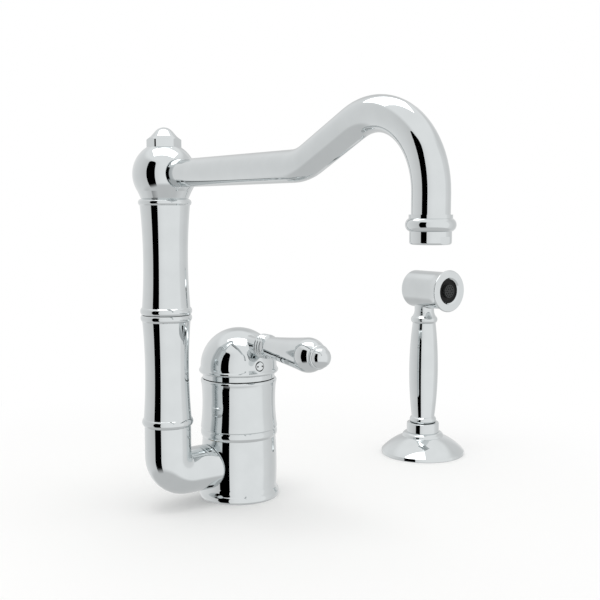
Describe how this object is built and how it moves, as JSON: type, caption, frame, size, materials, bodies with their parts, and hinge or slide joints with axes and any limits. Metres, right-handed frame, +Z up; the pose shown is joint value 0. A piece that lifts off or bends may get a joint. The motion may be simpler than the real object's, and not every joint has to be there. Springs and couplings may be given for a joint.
{
  "type": "single-handle kitchen faucet with side spray",
  "caption": "Chrome single-lever kitchen faucet: waisted valve body with domed lever handle, hooked swivel spout on its own column, and a matching side spray in a deck holder.",
  "frame": {"origin": "axis of the valve body on the deck, at the underside of its base ring", "axes": "+Z up; the user stands on the -Y side, where the spout, lever and spray head point; +X is the user's right, towards the side spray"},
  "size_m": [0.3268, 0.3251, 0.2831],
  "materials": {
    "polished_chrome": "polished plate",
    "raw_brass": "turned",
    "stainless_steel": "turned",
    "ceramic": "lapped ceramic",
    "white_plastic": "moulded",
    "black_plastic": "moulded",
    "dark_grey_plastic": "moulded",
    "black_rubber": "moulded"
  },
  "bodies": {
    "base": {"valve_body": "polished_chrome", "base_ring": "polished_chrome", "base_gasket": "black_rubber", "body_sleeve": "polished_chrome", "cover_collar": "polished_chrome", "collar_seal": "black_rubber", "cartridge_body": "white_plastic", "cartridge_cap": "white_plastic", "cartridge_nut": "raw_brass", "fixed_disc": "ceramic", "elbow": "polished_chrome", "elbow_nipple": "raw_brass", "column_lower": "polished_chrome", "swivel_bush": "black_plastic", "spray_holder": "polished_chrome", "holder_gasket": "black_rubber", "holder_bushing": "black_plastic"},
    "spout": {"column_upper": "polished_chrome", "swivel_tube": "raw_brass", "swivel_seals": "black_rubber", "swivel_clip": "stainless_steel", "ball_hub": "polished_chrome", "finial": "polished_chrome", "spout_tube": "polished_chrome", "outlet_ring": "polished_chrome", "aerator_washer": "black_rubber", "aerator_housing": "polished_chrome", "aerator_insert": "black_plastic"},
    "turner": {"yoke": "white_plastic", "pivot_pin": "stainless_steel"},
    "handle": {"dome_cap": "polished_chrome", "stem": "stainless_steel", "lever_stem": "polished_chrome", "lever_ferrule": "polished_chrome", "lever_grip": "polished_chrome", "lever_tip": "polished_chrome", "set_screw": "stainless_steel", "index_plug": "polished_chrome", "plug_seal": "black_rubber"},
    "disc": {"moving_disc": "ceramic"},
    "spray": {"spray_tail": "raw_brass", "spray_grip": "polished_chrome", "spray_head": "polished_chrome", "spray_face_ring": "polished_chrome", "nozzle_ring": "black_plastic", "nozzle_plate": "dark_grey_plastic", "valve_seat": "black_plastic"},
    "button": {"spray_button": "polished_chrome", "valve_stem": "stainless_steel", "valve_washer": "black_rubber"}
  },
  "joints": [
    {"name": "spout_swivel", "type": "hinge", "parent": "base", "child": "spout", "pos_m": [-0.063, 0, 0.1468], "axis": [0, 0, 1], "range_deg": [-120, 120]},
    {"name": "handle_turn", "type": "hinge", "parent": "base", "child": "turner", "pos_m": [0, 0, 0.085], "axis": [0, 0, 1], "range_deg": [-45, 45]},
    {"name": "handle_lift", "type": "hinge", "parent": "turner", "child": "handle", "pos_m": [0, 0, 0.0976], "axis": [-1, 0, 0], "range_deg": [0, 15]},
    {"name": "disc_slide", "type": "slide", "parent": "turner", "child": "disc", "axis": [0, -1, 0], "range_m": [0, 0.00741]},
    {"name": "spray_lift", "type": "slide", "parent": "base", "child": "spray", "axis": [0, 0, 1], "range_m": [0, 0.028]},
    {"name": "button_press", "type": "slide", "parent": "spray", "child": "button", "axis": [0, -1, 0], "range_m": [0, 0.004], "stiffness_N_per_m": 500, "springref_m": -0.003}
  ],
  "couplings": [
    {"joint": "disc_slide", "follows": "handle_lift", "m_per_rad": 0.02827}
  ]
}
